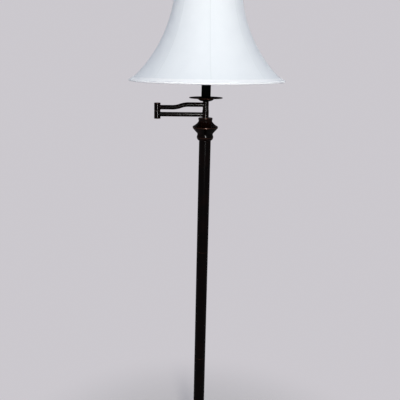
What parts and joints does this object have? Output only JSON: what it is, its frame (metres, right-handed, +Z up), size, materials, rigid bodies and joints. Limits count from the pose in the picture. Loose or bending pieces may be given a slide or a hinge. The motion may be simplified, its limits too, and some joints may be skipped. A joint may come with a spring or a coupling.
{
  "type": "bridge floor lamp",
  "caption": "Floor lamp with a round weighted base, a slim pole, a two-piece folding swing arm and a flared bell shade on a harp.",
  "frame": {"origin": "centre of the base's underside, on the floor, on the pole's axis", "axes": "+Z up the pole, -X from the pole to the elbow of the folded arm, -Y to the front where the switch knob points"},
  "size_m": [0.4112, 0.4112, 1.5183],
  "materials": {
    "bronze": "dark oil-rubbed bronze paint, satin, with brown rub-through on the raised edges",
    "felt": "black felt",
    "iron": "rough cast iron",
    "black_plastic": "matte black plastic",
    "steel": "zinc plated steel",
    "nylon": "black nylon",
    "bush_brass": "plain brass",
    "black_paint": "matte black paint",
    "harp_brass": "antique brass plating",
    "liner_card": "fibre board",
    "phenolic": "brown phenolic",
    "bulb_metal": "bare aluminium",
    "bulb_glass": "frosted white glass",
    "shade_cloth": "fine plain-weave white cloth on a liner",
    "trim_cloth": "folded white cloth band",
    "frame_wire": "white enamelled wire"
  },
  "bodies": {
    "stand": {"base_pad": "felt", "base_weight": "iron", "base_cover": "bronze", "cable_grommet": "black_plastic", "base_washer": "steel", "base_nut": "steel", "base_rod": "steel", "column_foot": "bronze", "pole_plug_bottom": "steel", "pole_lower": "bronze", "pole_coupler_lower": "steel", "pole_middle": "bronze", "pole_coupler_upper": "steel", "pole_upper": "bronze", "pole_plug_top": "steel", "column_cap": "bronze", "pivot_bush": "bush_brass", "swing_washer": "nylon", "stop_pin": "steel"},
    "lower_arm": {"swing_spindle": "steel", "stop_washer": "steel", "spindle_nut": "steel", "lower_barrel": "bronze", "lower_arm_tube": "bronze", "elbow_lower": "bronze", "elbow_cap_bottom": "bronze", "elbow_stud": "steel", "elbow_washer": "nylon", "elbow_nut": "steel"},
    "upper_arm": {"elbow_upper": "bronze", "elbow_cap_top": "bronze", "upper_arm_tube": "bronze", "upper_barrel": "bronze", "stem_rod": "steel", "drip_pan": "bronze", "tube_seat": "steel", "candle_tube": "black_paint", "tube_cap": "bronze", "harp_saddle": "harp_brass", "harp": "harp_brass", "harp_post": "harp_brass", "socket_cap": "harp_brass", "socket_shell": "harp_brass", "socket_liner": "liner_card", "socket_block": "phenolic", "screw_shell": "bush_brass", "bulb_base": "bulb_metal", "bulb_globe": "bulb_glass", "finial": "bronze"},
    "switch": {"switch_stem": "bush_brass", "switch_knob": "black_plastic"},
    "sleeve_left": {"harp_sleeve_left": "harp_brass"},
    "sleeve_right": {"harp_sleeve_right": "harp_brass"},
    "shade": {"shade_fabric": "shade_cloth", "shade_trim_bottom": "trim_cloth", "shade_trim_top": "trim_cloth", "shade_ring_bottom": "frame_wire", "shade_ring_top": "frame_wire", "shade_ribs": "frame_wire", "shade_spider": "frame_wire"}
  },
  "joints": [
    {"name": "arm_swing", "type": "hinge", "parent": "stand", "child": "lower_arm", "pos_m": [0, 0, 1.117], "axis": [0, 0, 1], "range_deg": [-160, 160]},
    {"name": "elbow_fold", "type": "hinge", "parent": "lower_arm", "child": "upper_arm", "pos_m": [-0.13, 0, 1.1349], "axis": [0, 0, 1], "range_deg": [-180, 180]},
    {"name": "switch_turn", "type": "hinge", "parent": "upper_arm", "child": "switch", "pos_m": [0, -0.0275, 1.2823], "axis": [0, -1, 0], "continuous": true},
    {"name": "shade_turn", "type": "hinge", "parent": "upper_arm", "child": "shade", "pos_m": [0, 0, 1.4839], "axis": [0, 0, 1], "continuous": true},
    {"name": "sleeve_left_lift", "type": "slide", "parent": "upper_arm", "child": "sleeve_left", "axis": [0, 0, 1], "range_m": [0, 0.012]},
    {"name": "sleeve_right_lift", "type": "slide", "parent": "upper_arm", "child": "sleeve_right", "axis": [0, 0, 1], "range_m": [0, 0.012]}
  ]
}
